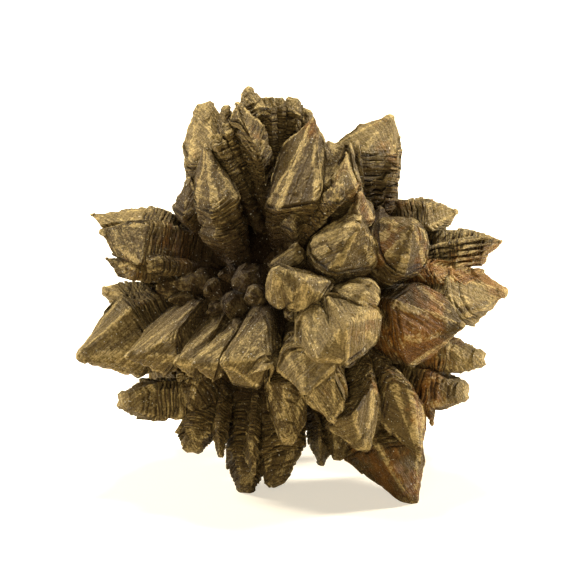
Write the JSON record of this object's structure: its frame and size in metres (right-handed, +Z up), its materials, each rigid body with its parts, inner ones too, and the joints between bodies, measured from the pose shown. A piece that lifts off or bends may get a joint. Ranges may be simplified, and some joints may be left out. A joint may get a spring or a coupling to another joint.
{
  "type": "marcasite specimen",
  "caption": "Ball of spear-shaped marcasite crystals grown out from one centre, with stepped growth layers, resting on three of its own tips.",
  "frame": {"origin": "on the resting surface, under the middle of the bounding box", "axes": "+Z up, +X to the right of the show side, -Y out of the show side towards the viewer"},
  "size_m": [0.043, 0.0414, 0.0395],
  "materials": {
    "marcasite": "dull bronze-brown tarnish"
  },
  "bodies": {
    "root": {"crystal_cluster": "marcasite"}
  },
  "joints": []
}
